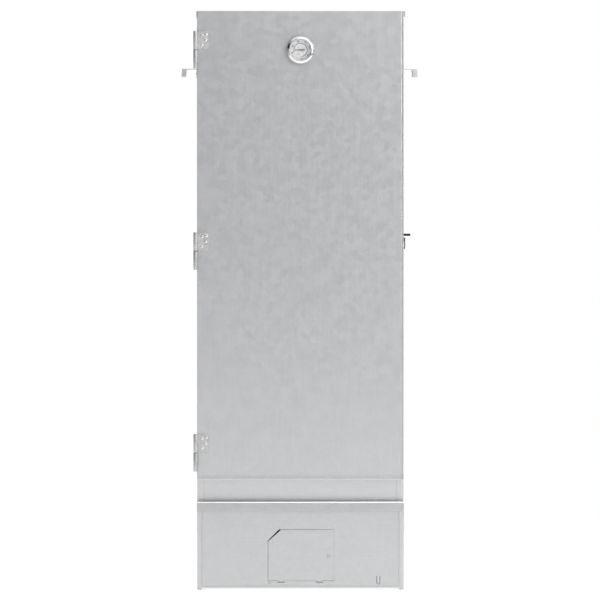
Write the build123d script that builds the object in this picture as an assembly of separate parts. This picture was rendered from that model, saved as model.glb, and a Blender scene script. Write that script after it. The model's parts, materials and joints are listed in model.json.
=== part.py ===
from build123d import *

import math
import os

# A tall sheet-steel smoking cabinet. Millimetres, +Z up, the front faces -Y, +X is the viewer's right.
# The origin lies on the floor, in the middle of the object's footprint.

# ---- driving dimensions -------------------------------------------------------------------------
sheet = 1.0  # thickness of the folded panels
height = 1100.0  # floor to the top of the door and roof
body_half = 196.4  # half the width of the cabinet body
body_front = -140.0  # front plane of the body's flanges and rails
body_back = 130.0  # rear plane of the body
flange = 13.0  # width of the side panels' folded flanges

door_front = -160.0
door_half = 196.0
door_depth = 18.0
door_bottom = 209.5
opening_bottom = 232.0  # sill of the door opening
opening_top = 1066.0

base_half = 196.6
base_front = -160.0
base_back = 131.0
base_top = 165.0  # the body stands on the base's ledge at this height
post_face = 9.0  # what a corner post shows at the front
post_return = 25.0
panel_bottom = 4.3  # the base panels stop this far above the floor
panel_recess = 0.6  # the base front panel lies this far behind the posts' face
rim_bottom = 150.0

hinge_x = -199.3
hinge_y = -163.3
hinge_joints = (261.1, 644.4, 1026.5)  # heights where the two halves of each hinge meet
knuckle_radius = 4.1
knuckle_length = 35.0
hinge_pin_radius = 2.4
running_gap = 0.05  # radial clearance of pins that turn
leaf_thickness = 1.6

latch_height = 675.0
latch_stud_y = -145.5
stud_reach = 209.0
stud_radius = 2.2
latch_pivot_y = -135.5
latch_pivot_z = 666.0
hook_half = 4.2  # half the width of the latch hook's strip
hook_sheet = 2.0
hook_gap = 0.5  # between the hook and the cabinet's side

handle_top = 991.8
handle_reach = 225.4
handle_drop = 15.4
handle_half = 30.0  # half the handle's length, front to back
handle_sheet = 1.2
handle_tab = 8.6  # width of the tabs that close the handle's ends

dial_height = 1026.0
bezel_radius = 26.0
window_radius = 20.5

flap_left = -62.0
flap_right = 64.0
flap_bottom = 17.1
flap_top = 114.9
flap_chamfer = 21.0
flap_gap = 0.6  # between the flap and its opening, at the left and at the top left
flap_close_gap = 0.3  # the same at the right
flap_finger_gap = 3.6  # extra room for a fingertip at the upper end of the cut corner
flap_corner_gap = 1.4  # the same at its lower end
flap_axis_z = 16.6
notch_bottom = 13.6
flap_bead_radius = 0.8  # rolled bead on the flap's tongues, which turns in the notches
tongue_places = (-37.0, 36.5)
tongue_half = 5.8

vent_y = -5.0
vent_ring = 22.0
vent_hole_radius = 6.0
vent_holes = 6
damper_radius = 34.0

rail_levels = (255.0, 430.0, 620.0)  # top faces of the rails: drip tray, lower rack, upper rack
rail_shelf = 14.0
rail_front = -114.0
rail_back = 120.0
rod_height = 1020.0
rod_radius = 3.0
rod_places = (-50.0, 50.0)

element_height = 24.0
element_radius = 3.3
element_runs = (-45.0, -15.0, 15.0, 45.0)
support_places = (-35.0, 55.0)
support_top = 33.0
box_half = 62.0  # half the width of the terminal box
box_bottom = 10.0
box_top = 72.0
box_depth = 36.0
inlet_height = 46.0

panel_y = base_front + panel_recess  # front face of the base front panel
web = body_half - sheet  # inner face of a side panel


# ---- helpers ------------------------------------------------------------------------------------
def block(x0, x1, y0, y1, z0, z1):
    """A box between two opposite corners."""
    return Pos((x0 + x1) / 2, (y0 + y1) / 2, (z0 + z1) / 2) * Box(x1 - x0, y1 - y0, z1 - z0)


def bar(start, end, radius):
    """A round bar between two points."""
    axis = Vector(*end) - Vector(*start)
    return extrude(Plane(origin=start, z_dir=axis) * Circle(radius), axis.length)


def ring(start, end, outer, inner):
    """A round tube between two points."""
    axis = Vector(*end) - Vector(*start)
    return extrude(Plane(origin=start, z_dir=axis) * (Circle(outer) - Circle(inner)), axis.length)


def turned(profile):
    """A solid turned about the Y axis from (radius, y) points."""
    return revolve(Polygon(*profile, align=None), axis=Axis.Y)


def pressed(profile, x0, x1):
    """A solid with one (y, z) outline from x0 to x1."""
    return extrude(Plane.YZ.offset(x0) * Polygon(*profile, align=None), x1 - x0, dir=(1, 0, 0))


def run_along(profile, y0, y1):
    """A solid with one (x, z) outline from y0 to y1."""
    section = Plane(origin=(0, y0, 0), x_dir=(1, 0, 0), z_dir=(0, -1, 0)) * Polygon(*profile, align=None)
    return extrude(section, y1 - y0, dir=(0, 1, 0))


def bent_wire(path, radius):
    """A round wire along a smooth path."""
    return sweep(Plane(origin=path @ 0, z_dir=path % 0) * Circle(radius), path=path)


def other_side(part):
    """The mirror image on the other side of the cabinet."""
    return mirror(part, about=Plane.YZ)


def rivet(place, outward, shank, grip, head, rise):
    """A button rivet: its head stands on a face at place, and its shank goes back through the sheets."""
    out = Vector(*outward)
    base = Vector(*place)
    crown = chamfer(extrude(Plane(origin=base, z_dir=out) * Circle(head), rise).edges().sort_by(
        lambda edge: (edge.center() - base).dot(out))[-1:], rise * 0.45)
    return crown + bar(tuple(base), tuple(base - out * grip), shank)


def save(name, *pieces):
    """Writes one sub-part, which may be a group of separate solids."""
    solids = [solid for piece in pieces for solid in piece.solids()]
    shape = solids[0] if len(solids) == 1 else Compound(solids)
    export_step(shape, f"parts/{name}.step")


# ---- rivet and screw places that two sub-parts share --------------------------------------------
rivet_shank = 1.5


def leaf_rivets():
    """Places of the rivets on the door's hinge leaves, as (x, z)."""
    offsets = ((-187.0, 27.0), (-178.6, 29.0), (-180.0, 18.0), (-187.0, 8.7))
    return [(x, joint + rise) for joint in hinge_joints for x, rise in offsets]


def frame_rivets():
    """Places of the rivets on the cabinet's hinge leaves, as (y, z)."""
    offsets = ((-120.0, -27.0), (-128.0, -18.0), (-120.0, -9.0))
    return [(y, joint + drop) for joint in hinge_joints for y, drop in offsets]


def handle_rivet_places():
    """Places of the handle rivets on a side panel, as (y, z)."""
    return [(y, handle_top - 10.0) for y in (-22.0, 22.0)]


def cover_screw_places():
    """Places of the terminal cover's screws, as (x, z)."""
    return [(x, z) for x in (-box_half + 7.0, box_half - 7.0) for z in (box_bottom + 7.0, box_top - 7.0)]


# ---- cabinet body -------------------------------------------------------------------------------
def side_panel():
    """The right side: a web with flanges folded in at the front and back."""
    panel = block(web, body_half, body_front, body_back, base_top, height - sheet)
    panel += block(body_half - flange, body_half, body_front, body_front + sheet, base_top, height - sheet)
    panel += block(body_half - flange, body_half, body_back - sheet, body_back, base_top, height - sheet)
    for y, z in handle_rivet_places():
        panel -= bar((web - 1, y, z), (body_half + 1, y, z), rivet_shank)
    return panel


def left_side_panel():
    panel = other_side(side_panel())
    for y, z in frame_rivets():
        panel -= bar((-body_half - 1, y, z), (-web + 1, y, z), rivet_shank)
    return panel


def right_side_panel():
    pivot = bar((web - 1, latch_pivot_y, latch_pivot_z), (body_half + 1, latch_pivot_y, latch_pivot_z), 2.0)
    return side_panel() - pivot


def back_panel():
    return block(-web, web, body_back - 2 * sheet, body_back - sheet, base_top, height - sheet)


def roof_cap():
    """A shallow cap over the body, 2 mm wider on the latch side, with a ring of vent holes."""
    left, right = -body_half - 1.2, body_half + 2.9
    front, back = body_front - 1.3, body_back + 1.2
    cap = block(left, right, front, back, height - 9.5, height)
    cap = fillet(cap.edges().filter_by(Axis.Z), 1.0)
    cap -= block(left + sheet, right - sheet, front + sheet, back - sheet, height - 10.0, height - sheet)
    for index in range(vent_holes):
        angle = math.radians(360.0 / vent_holes * index)
        x, y = vent_ring * math.cos(angle), vent_y + vent_ring * math.sin(angle)
        cap -= bar((x, y, height - 2 * sheet), (x, y, height + sheet), vent_hole_radius)
    return cap - bar((0, vent_y, height - 2 * sheet), (0, vent_y, height + sheet), 2.0)


def vent_damper():
    """A disc on the roof whose holes lie between the roof's at rest, with a low lipped tongue for a finger."""
    low = height + 0.3
    disc = bar((0, vent_y, low), (0, vent_y, low + sheet), damper_radius)
    for index in range(vent_holes):
        angle = math.radians(360.0 / vent_holes * (index + 0.5))
        x, y = vent_ring * math.cos(angle), vent_y + vent_ring * math.sin(angle)
        disc -= bar((x, y, low - 1), (x, y, low + 2), vent_hole_radius)
    disc -= bar((0, vent_y, low - 1), (0, vent_y, low + 2), 2.0 + running_gap)
    edge = vent_y - damper_radius
    tongue = block(-6.0, 6.0, edge - 9.0, edge + 2.0, low, low + sheet)
    return disc + tongue + block(-6.0, 6.0, edge - 9.0, edge - 9.0 + sheet, low, low + 2.0)


def vent_pivot():
    """The rivet that the damper turns on."""
    shank = bar((0, vent_y, height - sheet), (0, vent_y, height + 1.6), 2.0)
    head = bar((0, vent_y, height + 1.6), (0, vent_y, height + 2.7), 5.0)
    return shank + head + bar((0, vent_y, height - 2.2), (0, vent_y, height - sheet), 3.5)


def upper_front_rail():
    """The header over the door opening, folded back at its lower edge."""
    half = body_half - flange - 0.15
    face = block(-half, half, body_front, body_front + sheet, opening_top, height - sheet)
    return face + block(-half, half, body_front, body_front + 15.0, opening_top, opening_top + sheet)


def lower_front_rail():
    """The sill strip under the door, folded back at its upper edge."""
    half = body_half - flange - 0.15
    face = block(-half, half, body_front, body_front + sheet, base_top, opening_bottom)
    return face + block(-half, half, body_front, body_front + 15.0, opening_bottom - sheet, opening_bottom)


def front_rivets():
    """Small rivet heads on the front flanges beside the sill strip."""
    places = ((-188.0, 204.0), (-188.0, 197.5), (190.5, 206.0))
    return [bar((x, body_front - 0.9, z), (x, body_front, z), 1.6) for x, z in places]


# ---- base ---------------------------------------------------------------------------------------
def corner_post(front):
    """The right post at the front or back: an angle with a foot turned in at the floor."""
    near = base_front if front else base_back
    inward = 1 if front else -1
    low, high = sorted((near, near + inward * sheet))
    face = block(base_half - post_face, base_half, low, high, 0, base_top - 2 * sheet)
    low, high = sorted((near, near + inward * post_return))
    side = block(base_half - sheet, base_half, low, high, 0, base_top - 2 * sheet)
    low, high = sorted((near, near + inward * 18.0))
    return face + side + block(base_half - post_face, base_half, low, high, 0, 2.0)


def corner_posts():
    right = [corner_post(True), corner_post(False)]
    return right + [other_side(post) for post in right]


skirt_rivet_x = -58.7
skirt_rivet_z = 13.4


def tongue_notch(x):
    """The notch that one tongue of the flap hangs in."""
    reach = tongue_half + 0.5
    return block(x - reach, x + reach, panel_y - 1, panel_y + 2, notch_bottom, flap_bottom + 1)


def stop_strips():
    """Strips spot-welded behind the opening, which the flap closes against at its right and its foot."""
    behind, back = panel_y + sheet + flap_close_gap, panel_y + 2 * sheet + flap_close_gap
    upright = block(flap_right - 4.0, flap_right + 5.0, behind, back, flap_bottom + 6.0, flap_top - 6.0)
    upright += block(flap_right + 0.5, flap_right + 5.0, panel_y + sheet, behind, flap_bottom + 6.0, flap_top - 6.0)
    left, right = (x + side * (tongue_half + 2.0) for x, side in zip(tongue_places, (1, -1)))
    level = block(left, right, behind, back, flap_bottom - 7.0, flap_bottom + 3.0)
    return upright + level + block(left, right, panel_y + sheet, behind, flap_bottom - 7.0, flap_bottom - 0.5)


def lanced_tab():
    """A U-shaped cut that frees a small tab near the right end."""
    x, low, high, half = 148.0, 10.7, 26.0, 3.5
    outer = run_along(((x - half, low + half), (x + half, low + half), (x + half, high), (x - half, high)),
                      panel_y - 1, panel_y + 2)
    outer += bar((x, panel_y - 1, low + half), (x, panel_y + 2, low + half), half)
    inner = block(x - half + 0.9, x + half - 0.9, panel_y - 2, panel_y + 3, low + half, high + 1)
    inner += bar((x, panel_y - 2, low + half), (x, panel_y + 3, low + half), half - 0.9)
    return outer - inner


def base_front_panel():
    """The front skirt, with the chip flap's opening, folded back at its sides and foot."""
    half = base_half - post_face - 0.3
    face = block(-half, half, panel_y, panel_y + sheet, panel_bottom, base_top - 2 * sheet)
    face += block(-half, half, panel_y, panel_y + 9.0, panel_bottom, panel_bottom + sheet)
    for x in (-half, half - sheet):
        face += block(x, x + sheet, panel_y, panel_y + 12.0, panel_bottom, base_top - 2 * sheet)
    left, cut = flap_left, flap_chamfer
    hole = ((left, flap_bottom), (flap_right, flap_bottom), (flap_right, flap_top), (left + cut, flap_top),
            (left, flap_top - cut))
    face -= run_along(hole, panel_y - 1, panel_y + 2)
    for x in tongue_places:
        face -= tongue_notch(x)
    x, z = skirt_rivet_x, skirt_rivet_z
    face -= bar((x, panel_y - 1, z), (x, panel_y + 2, z), rivet_shank)
    return face - lanced_tab() + stop_strips()


def skirt_rivet():
    """A rivet in the front skirt, beside the flap's foot."""
    return rivet((skirt_rivet_x, panel_y, skirt_rivet_z), (0, -1, 0), rivet_shank, 2.2, 2.4, 0.9)


def base_side_panel():
    low, high = base_front + post_return + 0.4, base_back - post_return - 0.4
    return block(base_half - 1.4, base_half - 0.4, low, high, panel_bottom, base_top - 2 * sheet)


def base_back_panel():
    """The rear skirt, with holes for the element's two legs."""
    half = base_half - post_face - 0.3
    face = block(-half, half, base_back - sheet, base_back, panel_bottom, base_top - 2 * sheet)
    for x in (element_runs[0], element_runs[-1]):
        face -= bar((x, base_back - 2, element_height), (x, base_back + 1, element_height), element_radius)
    return face


def base_rim():
    """The ledge that the body stands on: four lengths, the front one with a rolled edge over a band."""
    low, top = rim_bottom, base_top
    half = base_half - 0.5
    front = pressed(((base_front - 0.2, low), (base_front - 1.5, low), (base_front - 1.0, top - 0.5),
                     (base_front - 1.0, top), (body_front + 12, top), (body_front + 12, top - 1),
                     (base_front - 0.2, top - 1)), -half, half)
    roll = bar((-half - 1.2, base_front - 1.2, top + 1.5), (half + 1.2, base_front - 1.2, top + 1.5), 1.6)
    front += fillet(roll.edges(), 1.0)
    inner, outer = web - 16.0, base_half - 1.7
    side_ledge = block(inner, base_half, body_front + 12.3, base_back - 1, top - 1, top)
    side_ledge += block(outer - 1, outer, body_front + 12.3, base_back - 26.0, low, top)
    back = block(-inner, inner, base_back - 16.0, base_back + 1.2, top - 1, top)
    back += block(-base_half, base_half, base_back + 0.2, base_back + 1.2, low, top)
    return [front, side_ledge, other_side(side_ledge), back]


def base_floor_pan():
    """The ash floor under the element, with a low upturned lip."""
    half = base_half - 2.2
    front, back = base_front + 13.0, base_back - 1.6
    pan = block(-half, half, front, back, 6.0, 14.0)
    pan -= block(-half + sheet, half - sheet, front + sheet, back - sheet, 6.0 + sheet, 15.0)
    for x0, x1 in ((-half - 1, -base_half + post_face + 1), (base_half - post_face - 1, half + 1)):
        pan -= block(x0, x1, base_back - 20.0, back + 1, 5.0, 15.0)
        pan -= block(x0, x1, front - 1, base_front + 20.0, 5.0, 15.0)
    return pan


# ---- chip flap ----------------------------------------------------------------------------------
def chip_flap():
    """The flap over the chip opening. It tips out about the rolled beads of its two tongues."""
    left, right, low = flap_left + flap_gap, flap_right - flap_close_gap, flap_bottom + 0.5
    outline = ((left, low), (right, low), (right, flap_top - flap_close_gap - 0.1),
               (left + flap_chamfer + flap_finger_gap, flap_top - flap_gap - 0.1),
               (left, flap_top - flap_chamfer - flap_corner_gap))
    flap = run_along(outline, panel_y, panel_y + sheet)
    for x in tongue_places:
        left, right = x - tongue_half, x + tongue_half
        flap += block(left, right, panel_y, panel_y + sheet, flap_axis_z - 0.5, flap_bottom + 2)
        flap += block(left, right, panel_y, panel_y + 4.0, flap_axis_z - 0.5, flap_axis_z + 0.5)
        flap += block(left, right, panel_y + 3.0, panel_y + 4.0, flap_axis_z - 5.7, flap_axis_z + 0.5)
        axis_y = panel_y + sheet / 2
        flap += bar((left, axis_y, flap_axis_z), (right, axis_y, flap_axis_z), flap_bead_radius)
    return flap - bar((54.0, panel_y - 1, 64.0), (54.0, panel_y + 2, 64.0), rivet_shank)


def flap_knob():
    """The flap's small finger button, riveted through it."""
    return rivet((54.0, panel_y, 64.0), (0, -1, 0), rivet_shank, 2.0, 3.2, 1.5)


# ---- inside the cabinet -------------------------------------------------------------------------
def rack_rails():
    """Angle rails on both side panels, one pair for each level."""
    rails = []
    for level in rail_levels:
        shelf = block(web - rail_shelf, web, rail_front, rail_back, level - sheet, level)
        rail = shelf + block(web - sheet, web, rail_front, rail_back, level - 12.0, level)
        rails += [rail, other_side(rail)]
    return rails


def drip_tray():
    """A shallow open tray whose rim lies on the lowest rails."""
    level = rail_levels[0]
    outer, depth, front, back = 176.0, 20.0, -118.0, 116.0
    tray = block(-outer, outer, front, back, level - depth, level + sheet)
    tray -= block(-outer + sheet, outer - sheet, front + sheet, back - sheet, level - depth + sheet, level + 2)
    rim = block(-190.0, 190.0, front, back, level, level + sheet)
    return tray + (rim - block(-outer, outer, front - 1, back + 1, level - 1, level + 2))


def wire_rack(level):
    """A rack of parallel wires on a round bar frame, lying on one pair of rails."""
    half_x, half_y, frame, wire = 187.0, 112.0, 2.2, 1.4
    z = level + frame
    bars = [bar((-half_x, y, z), (half_x, y, z), frame) for y in (-half_y, half_y)]
    bars += [bar((x, -half_y + 0.7, z), (x, half_y - 0.7, z), frame) for x in (-half_x + 3.3, half_x - 3.3)]
    count = 13
    for index in range(1, count + 1):
        x = -half_x + 2 * half_x * index / (count + 1)
        bars.append(bar((x, -half_y - 1.5, z + 1.7), (x, half_y + 1.5, z + 1.7), wire))
    return bars[0].fuse(*bars[1:])


def rod_bracket():
    """A bar on the right side panel with open notches that the hanging rods drop into."""
    bracket = block(web - 2.0, web, -80.0, 80.0, rod_height - 18.0, rod_height + 9.0)
    for y in rod_places:
        bracket -= bar((web - 3, y, rod_height), (web + 1, y, rod_height), rod_radius + 0.1)
        bracket -= block(web - 3, web + 1, y - rod_radius - 0.1, y + rod_radius + 0.1, rod_height, rod_height + 10)
    return bracket


def hanging_rods():
    reach = web - 0.5
    return [bar((-reach, y, rod_height), (reach, y, rod_height), rod_radius) for y in rod_places]


def smoking_hook(x, y):
    """A wire hook over a rod, bent up into a point at its lower end."""
    bend, drop, cup = rod_radius + 1.6, 95.0, 10.0
    low = rod_height - drop
    path = Line((x, y - bend, rod_height - 5.0), (x, y - bend, rod_height))
    path += ThreePointArc((x, y - bend, rod_height), (x, y, rod_height + bend), (x, y + bend, rod_height))
    path += Line((x, y + bend, rod_height), (x, y + bend, low))
    path += ThreePointArc((x, y + bend, low), (x, y + bend - cup, low - cup), (x, y + bend - 2 * cup, low))
    path += Line((x, y + bend - 2 * cup, low), (x, y + bend - 2 * cup, low + 12.0))
    return bent_wire(path, 1.3)


def smoking_hooks():
    front, back = rod_places
    places = [(x, front) for x in (-110.0, 0.0, 110.0)] + [(x, back) for x in (-60.0, 60.0)]
    return [smoking_hook(x, y) for x, y in places]


def chip_pan():
    """The open pan for wood chips, with a lip to pull it out by, standing over the element."""
    half, front, back, low, high = 54.0, -122.0, 62.0, support_top, support_top + 38.0
    pan = block(-half, half, front, back, low, high)
    pan -= block(-half + sheet, half - sheet, front + sheet, back - sheet, low + sheet, high + 1)
    return pan + block(-22.0, 22.0, front - 11.0, front, high - sheet, high)


# ---- heating element and its connections --------------------------------------------------------
def heating_element():
    """A tubular element bent to and fro in one plane, with both ends leaving through the back."""
    front, back, tail = -85.0, 95.0, base_back + 15.0
    a, b, c, d = element_runs
    z = element_height
    turn = (b - a) / 2
    path = Line((a, tail, z), (a, front, z))
    path += ThreePointArc((a, front, z), ((a + b) / 2, front - turn, z), (b, front, z))
    path += Line((b, front, z), (b, back, z))
    path += ThreePointArc((b, back, z), ((b + c) / 2, back + turn, z), (c, back, z))
    path += Line((c, back, z), (c, front, z))
    path += ThreePointArc((c, front, z), ((c + d) / 2, front - turn, z), (d, front, z))
    path += Line((d, front, z), (d, tail, z))
    return bent_wire(path, element_radius)


def element_supports():
    """Two upright plates on the floor pan that hold the element and carry the chip pan."""
    plates = []
    for y in support_places:
        plate = block(-60.0, 60.0, y, y + 1.5, 7.0, support_top)
        plate += block(-60.0, 60.0, y, y + 12.0, 7.0, 8.5)
        for x in element_runs:
            plate -= bar((x, y - 1, element_height), (x, y + 2.5, element_height), element_radius + 0.1)
        plates.append(plate)
    return plates


def element_glands():
    """The hexagon nuts that clamp the element's legs to the rear skirt."""
    nuts = []
    for x in (element_runs[0], element_runs[-1]):
        plane = Plane(origin=(x, base_back, element_height), z_dir=(0, 1, 0))
        nuts.append(extrude(plane * (RegularPolygon(7.0, 6) - Circle(element_radius)), 5.0))
    return nuts


def terminal_box():
    """A folded box on the rear skirt, round the element's ends."""
    back = base_back + box_depth
    box = block(-box_half, box_half, base_back, back, box_bottom, box_top)
    box -= block(-box_half + sheet, box_half - sheet, base_back - 1, back + 1, box_bottom + sheet, box_top - sheet)
    for x, z in cover_screw_places():
        ear = block(x - 5.0, x + 5.0, back - 1.5, back, z - 5.0, z + 5.0)
        if x < 0:
            ear += block(-box_half + sheet, x, back - 1.5, back, z - 5.0, z + 5.0)
        else:
            ear += block(x, box_half - sheet, back - 1.5, back, z - 5.0, z + 5.0)
        box += ear - bar((x, back - 2, z), (x, back + 1, z), rivet_shank)
    return box


def terminal_cover():
    """The plate that closes the terminal box, cut out for the inlet."""
    face = base_back + box_depth
    cover = block(-box_half, box_half, face, face + sheet, box_bottom, box_top)
    cover -= block(-13.5, 13.5, face - 1, face + 2, inlet_height - 10.0, inlet_height + 10.0)
    for x, z in cover_screw_places():
        cover -= bar((x, face - 1, z), (x, face + 2, z), rivet_shank)
    return cover


def terminal_screws():
    face = base_back + box_depth + sheet
    return [rivet((x, face, z), (0, 1, 0), rivet_shank, 5.0, 3.0, 1.6) for x, z in cover_screw_places()]


def power_inlet():
    """A moulded three-pin appliance inlet in the cover: a flange, a body and an open recess."""
    face = base_back + box_depth + sheet
    z = inlet_height
    body = block(-13.5, 13.5, face - 17.0, face, z - 10.0, z + 10.0)
    body += block(-19.0, 19.0, face, face + 2.0, z - 13.0, z + 13.0)
    body += block(-13.0, 13.0, face, face + 4.0, z - 9.5, z + 9.5)
    body -= block(-11.5, 11.5, face - 13.0, face + 5.0, z - 8.0, z + 8.0)
    for x, rise in ((-7.0, -2.5), (0.0, 2.5), (7.0, -2.5)):
        body -= block(x - 1.0, x + 1.0, face - 18.0, face - 12.0, z + rise - 2.0, z + rise + 2.0)
    return body


def inlet_pins():
    """The inlet's three flat pins, from the wiring side into the recess."""
    face = base_back + box_depth + sheet
    places = ((-7.0, -2.5), (0.0, 2.5), (7.0, -2.5))
    return [block(x - 1.0, x + 1.0, face - 23.0, face - 3.0, inlet_height + rise - 2.0, inlet_height + rise + 2.0)
            for x, rise in places]


def thermal_cutout():
    """A snap-disc cut-out on the rear skirt, with two terminal blades."""
    x, z = 42.0, 56.0
    disc = bar((x, base_back, z), (x, base_back + 9.0, z), 8.0)
    disc += block(x - 11.0, x + 11.0, base_back, base_back + 1.0, z - 4.0, z + 4.0)
    for step in (-4.0, 4.0):
        disc += block(x + step - 0.4, x + step + 0.4, base_back + 8.0, base_back + 16.0, z - 3.0, z + 3.0)
    return disc


def internal_wires():
    """The three insulated leads inside the terminal box."""
    lead = 1.3
    pin_y = base_back + box_depth - 22.0 - lead
    low_z = inlet_height - 2.5
    first, last = element_runs[0], element_runs[-1]
    tail = base_back + 15.0 + lead
    live = FilletPolyline((first, tail, element_height + 3.6), (first, tail, low_z), (-8.0 - lead, tail, low_z),
                          radius=8.0)
    neutral = FilletPolyline((last, tail, element_height + 3.6), (last, tail + 4.0, 46.0),
                             (last, tail + 4.0, 52.0), radius=4.0)
    earth = Line((0.0, base_back, box_bottom + 6.0), (0.0, pin_y, box_bottom + 6.0))
    return [bent_wire(live, lead), bent_wire(neutral, lead), bent_wire(earth, lead)]


# ---- handles ------------------------------------------------------------------------------------
def handle():
    """The right handle: a folded shelf with a lip turned down, its ends closed by narrow tabs."""
    top, t = handle_top, handle_sheet
    reach, low = handle_reach, handle_top - handle_drop
    outline = ((body_half, top), (reach, top), (reach + 1.2, low), (reach + 1.2 - t, low), (reach - t, top - t),
               (body_half + t, top - t), (body_half + t, top - 18.0), (body_half, top - 18.0))
    part = run_along(outline, -handle_half, handle_half)
    tab = ((reach - handle_tab, top - t), (reach - t, top - t), (reach + 1.2 - t, low),
           (reach + 0.8 - handle_tab, low))
    part += run_along(tab, -handle_half, -handle_half + t)
    part += run_along(tab, handle_half - t, handle_half)
    for y, z in handle_rivet_places():
        part -= bar((body_half - 1, y, z), (body_half + t + 1, y, z), rivet_shank)
    return part


def handle_rivets():
    face = body_half + handle_sheet
    right = [rivet((face, y, z), (1, 0, 0), rivet_shank, 3.4, 3.0, 1.4) for y, z in handle_rivet_places()]
    return right + [other_side(part) for part in right]


# ---- hinges -------------------------------------------------------------------------------------
def door_hinge_leaf(joint):
    """The upper half of a lift-off hinge: a leaf on the door's face and a knuckle that turns on the pin."""
    low, high = joint + 0.5, joint + 0.5 + knuckle_length
    leaf = block(hinge_x, -174.5, door_front - leaf_thickness, door_front, low, high)
    leaf = fillet(leaf.edges().filter_by(Axis.Y).group_by(Axis.X)[-1], 2.5)
    leaf += bar((hinge_x, hinge_y, low), (hinge_x, hinge_y, high), knuckle_radius)
    leaf -= bar((hinge_x, hinge_y, low - 1), (hinge_x, hinge_y, high - 2), hinge_pin_radius + running_gap)
    for x, z in leaf_rivets():
        if low < z < high:
            leaf -= bar((x, door_front - 3, z), (x, door_front + 1, z), rivet_shank)
    return leaf


def frame_hinge_leaf(joint):
    """The lower half: a leaf on the cabinet's side and a knuckle that holds the pin."""
    low, high = joint - 0.5 - knuckle_length, joint - 0.5
    outer = -body_half - leaf_thickness
    leaf = block(outer, -body_half, hinge_y + 1.5, -112.0, low, high)
    leaf = fillet(leaf.edges().filter_by(Axis.X).group_by(Axis.Y)[-1], 2.5)
    leaf += bar((hinge_x, hinge_y, low), (hinge_x, hinge_y, high), knuckle_radius)
    leaf -= bar((hinge_x, hinge_y, low + 3), (hinge_x, hinge_y, high + 1), hinge_pin_radius)
    for y, z in frame_rivets():
        if low < z < high:
            leaf -= bar((outer - 1, y, z), (-body_half + 1, y, z), rivet_shank)
    return leaf


def hinge_pins():
    """The pins, held in the lower knuckles and standing up into the upper ones."""
    reach = knuckle_length - 3.0
    return [bar((hinge_x, hinge_y, joint - reach), (hinge_x, hinge_y, joint + reach), hinge_pin_radius)
            for joint in hinge_joints]


def hinge_washers():
    """The thin washers that the door's weight turns on."""
    return [ring((hinge_x, hinge_y, joint - 0.5), (hinge_x, hinge_y, joint + 0.4), 3.6, hinge_pin_radius)
            for joint in hinge_joints]


def door_hinge_rivets():
    face = door_front - leaf_thickness
    return [rivet((x, face, z), (0, -1, 0), rivet_shank, 3.4, 2.7, 1.2) for x, z in leaf_rivets()]


def frame_hinge_rivets():
    face = -body_half - leaf_thickness
    return [rivet((face, y, z), (-1, 0, 0), rivet_shank, 3.6, 2.7, 1.2) for y, z in frame_rivets()]


# ---- door ---------------------------------------------------------------------------------------
def door_skin():
    """The door: one sheet folded into a shallow pan, with lips turned in behind its edges."""
    back = door_front + door_depth
    skin = block(-door_half, door_half, door_front, back, door_bottom, height)
    skin = fillet(skin.faces().sort_by(Axis.Y)[0].edges(), 1.2)
    inner = door_half - sheet
    lip = inner - 9.0
    skin -= block(-inner, inner, door_front + sheet, back - sheet, door_bottom + sheet, height - sheet)
    skin -= block(-lip, lip, back - 2 * sheet, back + 1, door_bottom + 10.0, height - 10.0)
    skin -= bar((0, door_front - 1, dial_height), (0, door_front + 2, dial_height), 3.0)
    for x, z in leaf_rivets():
        skin -= bar((x, door_front - 1, z), (x, door_front + 2, z), rivet_shank)
    stud = bar((inner - 1, latch_stud_y, latch_height), (door_half + 1, latch_stud_y, latch_height), stud_radius)
    return skin - stud


def door_stiffeners():
    """Hat channels across the back of the door's face."""
    low, top, face = door_front + sheet, door_front + 11.0, 14.0
    hats = []
    for z in (240.0, 644.0, 1068.0):
        outline = ((low, z - 24), (low + 1, z - 24), (low + 1, z - face), (top, z - face + 4), (top, z + face - 4),
                   (low + 1, z + face), (low + 1, z + 24), (low, z + 24), (low, z + face - 1.2),
                   (top - 1, z + face - 5), (top - 1, z - face + 5), (low, z - face + 1.2))
        hats.append(pressed(outline, -172.0, 182.0))
    return hats


def latch_stud():
    """The stud on the door's edge that the hook catches. Its inner head has a flat beside the door's lip."""
    inner = door_half - sheet
    lip = door_front + door_depth - sheet
    y, z = latch_stud_y, latch_height
    stud = bar((inner - 1.5, y, z), (stud_reach, y, z), stud_radius)
    head = bar((inner - 2.5, y, z), (inner, y, z), 3.6)
    return stud + (head - block(inner - 3, inner + 1, lip - 0.1, lip + 5, z - 5, z + 5))


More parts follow.
